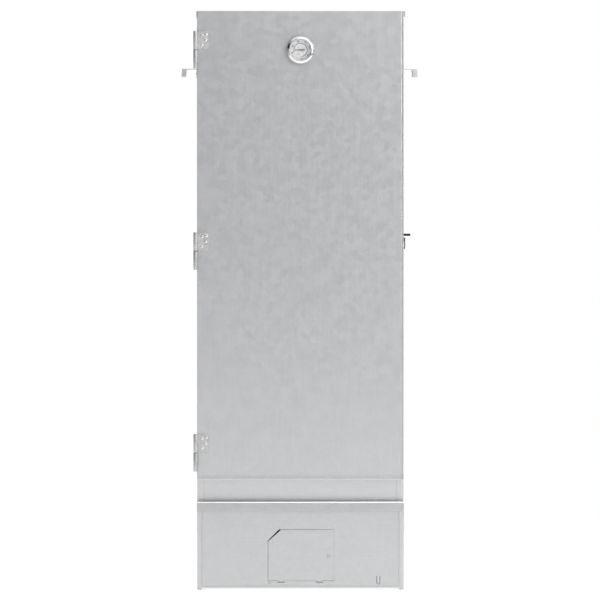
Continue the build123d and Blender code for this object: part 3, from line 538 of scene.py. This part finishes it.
def domed_rivets(node, body, outward, both_ways=False):
    """Domed heads in place of one node's plain rivets, facing outward, or away from the middle both ways."""
    mesh = bmesh.new()
    axis = Vector(outward)
    index = max(range(3), key=lambda i: abs(axis[i]))
    rise, shank = RIVET_RISE * MM, RIVET_SHANK * MM
    for low, high in solid_boxes(node):
        centre = (low + high) / 2
        head = max(high[i] - low[i] for i in range(3) if i != index) / 2
        sign = math.copysign(1, centre[index]) if both_ways else axis[index]
        tip = high[index] if sign > 0 else low[index]
        place = centre.copy()
        place[index] = tip - sign * rise
        out = Vector([sign if i == index else 0 for i in range(3)])
        profile = [(0, -shank), (shank, -shank), (shank, 0)] + dome_profile(head, rise)
        add_lathe(mesh, profile, frame_of(place, out), 32)
    bmesh.ops.recalc_face_normals(mesh, faces=mesh.faces)
    piece(node + "_domed", mesh, body, "bright_steel", (node,), smooth=50)


# ---- thermometer --------------------------------------------------------------------------------
dial_centre = Vector((0, 0, centre_of("thermometer_case").z))
case_low, case_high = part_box("thermometer_case")
dial_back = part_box("thermometer_dial")[1].y
FORWARD = (0, -1, 0)
SCALE_START, SCALE_END = 200.0, -80.0  # degrees, measured from the viewer's right, anticlockwise
DIVISIONS, PER_LABEL, LABEL_STEP = 24, 4, 20
ARC_INNER, ARC_OUTER = 12.0, 13.3      # the scale's dark arc, and a painted shadow of the bezel round the dial, in millimetres
SHADOW_RING_INNER, SHADOW_RING_OUTER = 19.0, 19.9
LONG_TICK, SHORT_TICK = (15.2, 0.38), (14.3, 0.2)  # (outer radius, half the width) in millimetres
TICK_RADIUS = 14.0                     # where the ticks' half widths are measured
LABEL_RADIUS, LABEL_SIZE = 17.1, 4.3
UNIT_LABEL = ("\N{DEGREE SIGN}C", 240.0, 9.0, 3.4)   # text, place in degrees, radius and size
STROKE_GAIN = 0.18                     # how much the print's strokes are fattened, in millimetres
PRINT_DEPTH, INK = 1.0, 0.04           # the print's distance from the plate's back, and its thickness


def dial_point(radius, degrees, y):
    """A point on the dial as seen from the front."""
    turn = math.radians(degrees)
    return Vector((radius * math.cos(turn), y, dial_centre.z + radius * math.sin(turn)))


def on_axis(y):
    """The frame of a piece turned about the dial's axis."""
    return frame_of(Vector((0, y, dial_centre.z)), FORWARD)


def thermometer_bezel():
    """The polished case with its broad rolled bezel."""
    back = case_high.y
    front = (back - case_low.y) / MM
    profile = [(3.0, 0.0), (24.5, 0.0), (24.6, 4.0), (25.0, 5.0), (25.7, 5.7), (26.0, 7.0)]
    profile += [(19.05 + 6.95 * math.cos(turn), front - 4.2 + 4.416 * math.sin(turn))
                for turn in (math.radians(6 * i) for i in range(13))]
    profile += [(21.0, front - 0.05), (20.7, front - 0.3), (20.7, front - 1.9), (20.5, front - 2.3),
                (20.5, front - 2.9), (22.4, front - 3.0), (22.4, 1.0), (3.0, 1.0), (3.0, 0.0)]
    mesh = bmesh.new()
    add_lathe(mesh, in_millimetres(profile), on_axis(back), 128)
    close_skin(mesh)
    piece("thermometer_bezel", mesh, "door", "chrome", ("thermometer_case",), smooth=35)


def dial_plate():
    """The printed plate, dished very slightly towards its rim."""
    mesh = bmesh.new()
    profile = [(0.8, 0.0), (22.3, 0.0), (22.3, 1.6), (21.0, 1.5), (19.0, 1.05), (18.0, 0.95), (0.8, 0.95),
               (0.8, 0.0)]
    add_lathe(mesh, in_millimetres(profile), on_axis(dial_back), 96)
    close_skin(mesh)
    piece("dial_plate", mesh, "door", "dial_face", ("thermometer_dial",), smooth=30)


def add_dial_strip(mesh, inner, outer, start, end, y, steps):
    """A flat ring segment on the dial, between radii in millimetres."""
    rim = []
    for i in range(steps + 1):
        degrees = start + (end - start) * i / steps
        rim.append([mesh.verts.new(dial_point(radius * MM, degrees, y)) for radius in (inner, outer)])
    for (a, b), (c, d) in zip(rim, rim[1:]):
        mesh.faces.new((a, b, d, c))


def add_label(mesh, text, degrees, radius, size, y):
    """Text on the dial, as flat faces. Outside the arc it leans with the scale, and inside it is level."""
    curve = bpy.data.curves.new("label", "FONT")
    curve.body = text
    curve.size = size * MM
    curve.offset = STROKE_GAIN * MM
    curve.align_x = "CENTER"
    curve.align_y = "CENTER"
    label = bpy.data.objects.new("label", curve)
    scene.collection.objects.link(label)
    lean = math.radians(degrees - 90) if radius > ARC_OUTER else 0.0
    place = Matrix.Translation(dial_point(radius * MM, degrees, y))
    graph = bpy.context.evaluated_depsgraph_get()
    flat = bpy.data.meshes.new_from_object(label.evaluated_get(graph), depsgraph=graph)
    flat.transform(place @ Matrix.Rotation(-lean, 4, "Y") @ Matrix.Rotation(math.pi / 2, 4, "X"))
    mesh.from_mesh(flat)
    bpy.data.objects.remove(label)
    bpy.data.meshes.remove(flat)


def dial_print_and_shadow():
    """The scale's dark arc, its long and short ticks, a painted shadow of the bezel round the dial, and the
    numbers.
    """
    y = dial_back - PRINT_DEPTH * MM
    sweep = SCALE_END - SCALE_START
    mesh = bmesh.new()
    add_dial_strip(mesh, ARC_INNER, ARC_OUTER, SCALE_START, SCALE_END, y, 90)
    # painted shadow: a dark ring where the bezel shades the dial's rim
    add_dial_strip(mesh, SHADOW_RING_INNER, SHADOW_RING_OUTER, SCALE_START, SCALE_END, y, 120)
    for i in range(DIVISIONS + 1):
        degrees = SCALE_START + sweep * i / DIVISIONS
        reach, half_width = SHORT_TICK if i % PER_LABEL else LONG_TICK
        half = math.degrees(half_width / TICK_RADIUS)
        add_dial_strip(mesh, ARC_OUTER, reach, degrees - half, degrees + half, y, 1)
    steps = DIVISIONS // PER_LABEL
    for i in range(steps + 1):
        add_label(mesh, str(LABEL_STEP * i), SCALE_START + sweep * i / steps, LABEL_RADIUS, LABEL_SIZE, y)
    add_label(mesh, *UNIT_LABEL, y)
    printed = piece("dial_print_and_shadow", mesh, "door", "dial_face", material=DIAL_INK_AND_SHADOW)
    thicken(printed, "ink", INK * MM)


def flat_plate(name, outline, y, thickness, body, slot, replaced=(), material=None):
    """A thin plate facing the front, from (x, z) points about the dial's centre in millimetres."""
    mesh = bmesh.new()
    mesh.faces.new([mesh.verts.new((x * MM, y, dial_centre.z + z * MM)) for x, z in outline])
    bmesh.ops.recalc_face_normals(mesh, faces=mesh.faces)
    plate = piece(name, mesh, body, slot, replaced, material)
    thicken(plate, "sheet", thickness * MM)


def dial_needle():
    """The pointer: a fine red blade, a broad dark tail and a stepped dark hub."""
    y = case_high.y - 4.3 * MM
    blade = [(-12.2, 0.25), (-2.0, 1.35), (3.0, 1.6), (3.0, -1.6), (-2.0, -1.35), (-12.2, -0.25)]
    flat_plate("needle_blade", blade, y, 0.3, "needle", "needle_red", ("thermometer_needle",))
    tail = [(2.0, 1.5), (7.4, 1.9), (8.2, 1.2), (8.2, -1.2), (7.4, -1.9), (2.0, -1.5)]
    flat_plate("needle_tail", tail, y - 0.2 * MM, 0.3, "needle", "needle_red", material=DIAL_INK_AND_SHADOW)
    hub = bmesh.new()
    profile = [(0.65, -15.0), (0.65, -0.3), (1.3, -0.3), (1.3, 0.5), (1.1, 0.7), (0.6, 0.8), (0, 0.85)]
    add_lathe(hub, in_millimetres(profile), on_axis(y), 32)
    bmesh.ops.recalc_face_normals(hub, faces=hub.faces)
    piece("needle_hub", hub, "needle", "needle_red", material=DIAL_INK_AND_SHADOW)


# ---- spot welds and other small marks -----------------------------------------------------------
WELD_PROFILE = [(0, -0.05), (1.2, -0.03), (1.6, 0.0), (1.9, 0.10), (2.3, 0.12), (2.7, 0.06), (2.9, 0.0)]
WELD_ROW, WELD_PITCH, WELD_START = 12, 78, 30   # welds in a seam, their pitch and the first one's height
WELD_INSET = 7.0                                # a seam's distance from the sheet's edge, in millimetres


def spot_welds():
    """Shallow weld dimples where rails and folded edges meet the sheets."""
    mesh = bmesh.new()
    profile = in_millimetres(WELD_PROFILE)
    side_low, side_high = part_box("right_side_panel")
    seam = [side_low.z + (WELD_START + step * WELD_PITCH) * MM for step in range(WELD_ROW)]
    right_rails = [rail for rail in solid_boxes("rack_rails") if rail[0].x > 0]
    for side in (-1, 1):
        places = []
        for low, high in right_rails:
            level = high.z - 6.0 * MM
            places += [(y, level) for y in (low.y + 14 * MM, (low.y + high.y) / 2, high.y - 14 * MM)]
        places += [(side_high.y - WELD_INSET * MM, z) for z in seam]
        for y, z in places:
            add_lathe(mesh, profile, frame_of(Vector((side * side_high.x, y, z)), (side, 0, 0)), 20)
    for side in (-1, 1):
        for z in seam:
            spot = Vector((side * (side_high.x - WELD_INSET * MM), side_high.y, z))
            add_lathe(mesh, profile, frame_of(spot, (0, 1, 0)), 20)
    bmesh.ops.recalc_face_normals(mesh, faces=mesh.faces)
    piece("spot_welds", mesh, "cabinet", "galvanised_sheet", smooth=60)


def hex_screws():
    """Hexagon washer-head screws on the terminal cover."""
    mesh = bmesh.new()
    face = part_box("terminal_cover")[1].y
    washer = [(0, -5.0), (1.5, -5.0), (1.5, 0), (3.0, 0), (3.0, 0.25), (2.8, 0.45), (0, 0.45)]
    head = [(0, 0.4), (2.2, 0.4), (2.2, 1.35), (1.9, 1.6), (0, 1.6)]
    for low, high in solid_boxes("terminal_screws"):
        centre = (low + high) / 2
        matrix = frame_of(Vector((centre.x, face, centre.z)), (0, 1, 0))
        add_lathe(mesh, in_millimetres(washer), matrix, 32)
        add_lathe(mesh, in_millimetres(head), matrix, 6)
    bmesh.ops.recalc_face_normals(mesh, faces=mesh.faces)
    piece("cover_screws", mesh, "cabinet", "bright_steel", ("terminal_screws",), smooth=30)


def add_long_bar(mesh, section, low, high):
    """A bar along X from one end to the other, from its (y, z) section in millimetres."""
    ends = [[mesh.verts.new((x, y * MM, z * MM)) for y, z in section] for x in (low, high)]
    for i in range(len(section)):
        j = (i + 1) % len(section)
        mesh.faces.new((ends[0][i], ends[0][j], ends[1][j], ends[1][i]))
    for end in ends:
        mesh.faces.new(end)
    bmesh.ops.recalc_face_normals(mesh, faces=mesh.faces)


BAND_HALF = 196.1  # half the rim band's length, in millimetres
BAND_SECTION = [(-160.4, 150.2), (-163.5, 150.2), (-163.7, 150.5), (-163.0, 165.8), (-160.4, 165.8)]
HEM_SECTION = [(-160.2, 165.8), (-162.9, 165.8), (-163.15, 166.1), (-162.6, 167.3), (-162.2, 167.8),
               (-160.2, 168.0)]
HEM_INSET = 0.2


def rim_front():
    """The front of the base's rim: its folded band, and the hem along the band's upper edge, made bright as a
    painted highlight.
    """
    low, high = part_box("base_rim")
    band, hem = bmesh.new(), bmesh.new()
    add_long_bar(band, BAND_SECTION, -BAND_HALF * MM, BAND_HALF * MM)
    add_long_bar(hem, HEM_SECTION, low.x + HEM_INSET * MM, high.x - HEM_INSET * MM)
    piece("rim_band", band, "cabinet", "galvanised_sheet", material=RIM_SHEET, smooth=20)
    piece("rim_hem", hem, "cabinet", "galvanised_sheet", material=HEM_PAINTED_HIGHLIGHT, smooth=20)


# ---- stage --------------------------------------------------------------------------------------
CAMERA_DISTANCE = 12.0  # metres in front of the door's face
CAMERA_HEIGHT = 0.85
CAMERA_SIDE = -0.165
VIEW_CENTRE = Vector((-0.95 * MM, 0, 0.55136))  # on the door's face
LENS, SENSOR = 379.2, 36.0
FLOOR_CORNERS = ((-2.2, -4.2, 0), (2.2, -4.2, 0), (2.2, 1.6, 0), (-2.2, 1.6, 0))


def floor_plane():
    """A pale floor round the cabinet."""
    mesh = bmesh.new()
    mesh.faces.new([mesh.verts.new(corner) for corner in FLOOR_CORNERS])
    data = bpy.data.meshes.new("floor")
    mesh.to_mesh(data)
    mesh.free()
    floor = bpy.data.objects.new("floor", data)
    scene.collection.objects.link(floor)
    data.materials.append(FLOOR_PAINT)


def soft_light(name, place, target, size, power, colour=(1, 1, 1)):
    """A rectangular studio light aimed at a point."""
    data = bpy.data.lights.new(name, "AREA")
    data.shape = "RECTANGLE"
    data.size, data.size_y = size
    data.energy = power
    data.color = colour
    lamp = bpy.data.objects.new(name, data)
    lamp.location = place
    lamp.rotation_euler = (Vector(target) - Vector(place)).to_track_quat("-Z", "Y").to_euler()
    scene.collection.objects.link(lamp)


# The studio's dark side, up and to the left: each row is a direction, and how far towards it the
# dark begins and is full.
DARK_SIDE = (((-1, 0, 0), 0.45, 0.58), ((-0.574, 0, -0.819), -0.10, 0.12), ((0.10, 0, 0.995), 0.0, 0.02))
DARK_STRENGTH = 0.03
# The light from straight down, through level, to straight up, as (place, colour) stops.
SKY_STOPS = ((0.0, (0.80, 0.80, 0.80)), (0.35, (0.62, 0.62, 0.62)), (0.50, (0.40, 0.40, 0.402)),
             (0.65, (0.47, 0.473, 0.48)), (1.0, (0.62, 0.625, 0.64)))


def dark_side(tree, direction):
    """How far each direction lies inside the studio's dark side, from 0 to 1."""
    gloom = None
    for facing, start, end in DARK_SIDE:
        towards = tree.nodes.new("ShaderNodeVectorMath")
        towards.operation = "DOT_PRODUCT"
        towards.inputs[1].default_value = Vector(facing).normalized()
        tree.links.new(direction, towards.inputs[0])
        within = tree.nodes.new("ShaderNodeMapRange")
        within.inputs["From Min"].default_value = start
        within.inputs["From Max"].default_value = end
        tree.links.new(towards.outputs["Value"], within.inputs["Value"])
        if gloom is None:
            gloom = within.outputs["Result"]
            continue
        product = tree.nodes.new("ShaderNodeMath")
        product.operation = "MULTIPLY"
        tree.links.new(gloom, product.inputs[0])
        tree.links.new(within.outputs["Result"], product.inputs[1])
        gloom = product.outputs[0]
    return gloom


def studio_world():
    """White behind the object, and soft greys for the light that falls on it from each direction."""
    world = bpy.data.worlds.new("studio")
    world.use_nodes = True
    tree = world.node_tree
    tree.nodes.clear()
    direction = tree.nodes.new("ShaderNodeTexCoord").outputs["Generated"]
    split = tree.nodes.new("ShaderNodeSeparateXYZ")
    tree.links.new(direction, split.inputs["Vector"])
    height = tree.nodes.new("ShaderNodeMapRange")
    height.inputs["From Min"].default_value = -1.0
    tree.links.new(split.outputs["Z"], height.inputs["Value"])
    strength = tree.nodes.new("ShaderNodeMapRange")
    strength.inputs["To Min"].default_value = 1.0
    strength.inputs["To Max"].default_value = DARK_STRENGTH
    tree.links.new(dark_side(tree, direction), strength.inputs["Value"])
    lit = tree.nodes.new("ShaderNodeBackground")
    tree.links.new(strength.outputs["Result"], lit.inputs["Strength"])
    tree.links.new(colour_ramp(tree, height.outputs["Result"], SKY_STOPS), lit.inputs["Color"])
    seen = tree.nodes.new("ShaderNodeBackground")
    seen.inputs["Color"].default_value = (1, 1, 1, 1)
    rays = tree.nodes.new("ShaderNodeLightPath")
    either = tree.nodes.new("ShaderNodeMixShader")
    tree.links.new(rays.outputs["Is Camera Ray"], either.inputs[0])
    tree.links.new(lit.outputs["Background"], either.inputs[1])
    tree.links.new(seen.outputs["Background"], either.inputs[2])
    out = tree.nodes.new("ShaderNodeOutputWorld")
    tree.links.new(either.outputs["Shader"], out.inputs["Surface"])
    scene.world = world


def studio_lights():
    """A broad light overhead, and smaller ones in front on the right and near the door's top."""
    soft_light("overhead", (0, -0.6, 3.6), (0, -0.6, 0), (4.6, 4.6), 46)
    soft_light("front_right", (1.5, -1.9, 1.35), (0, -0.16, 0.75), (0.8, 1.5), 15, (0.99, 0.995, 1.0))
    soft_light("top_front", (0.6, -1.25, 1.8), (0.15, -0.16, 1.05), (1.7, 0.8), 4.8, (0.96, 0.98, 1.0))
    soft_light("top_right", (1.15, -1.15, 1.35), (0.2, -0.16, 1.1), (0.5, 0.5), 2.6, (0.96, 0.98, 1.0))


def camera():
    """A long lens far in front and a little to the left, aimed at the middle of the cabinet's height."""
    data = bpy.data.cameras.new("camera")
    data.sensor_width = SENSOR
    data.lens = LENS
    data.clip_end = 60.0
    cam = bpy.data.objects.new("camera", data)
    target = VIEW_CENTRE + Vector((0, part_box("door_skin")[0].y, 0))
    cam.location = (CAMERA_SIDE, target.y - CAMERA_DISTANCE, CAMERA_HEIGHT)
    cam.rotation_euler = (target - cam.location).to_track_quat("-Z", "Y").to_euler()
    scene.collection.objects.link(cam)
    scene.camera = cam


# ---- making -------------------------------------------------------------------------------------
camera()
studio_world()
studio_lights()
floor_plane()
dress_nodes()
door_panel()
domed_rivets("door_hinge_rivets", "door", (0, -1, 0))
domed_rivets("frame_hinge_rivets", "cabinet", (-1, 0, 0))
domed_rivets("handle_rivets", "cabinet", (1, 0, 0), both_ways=True)
thermometer_bezel()
dial_plate()
dial_print_and_shadow()
dial_needle()
spot_welds()
rim_front()
hex_screws()

scene.view_settings.view_transform = "Standard"
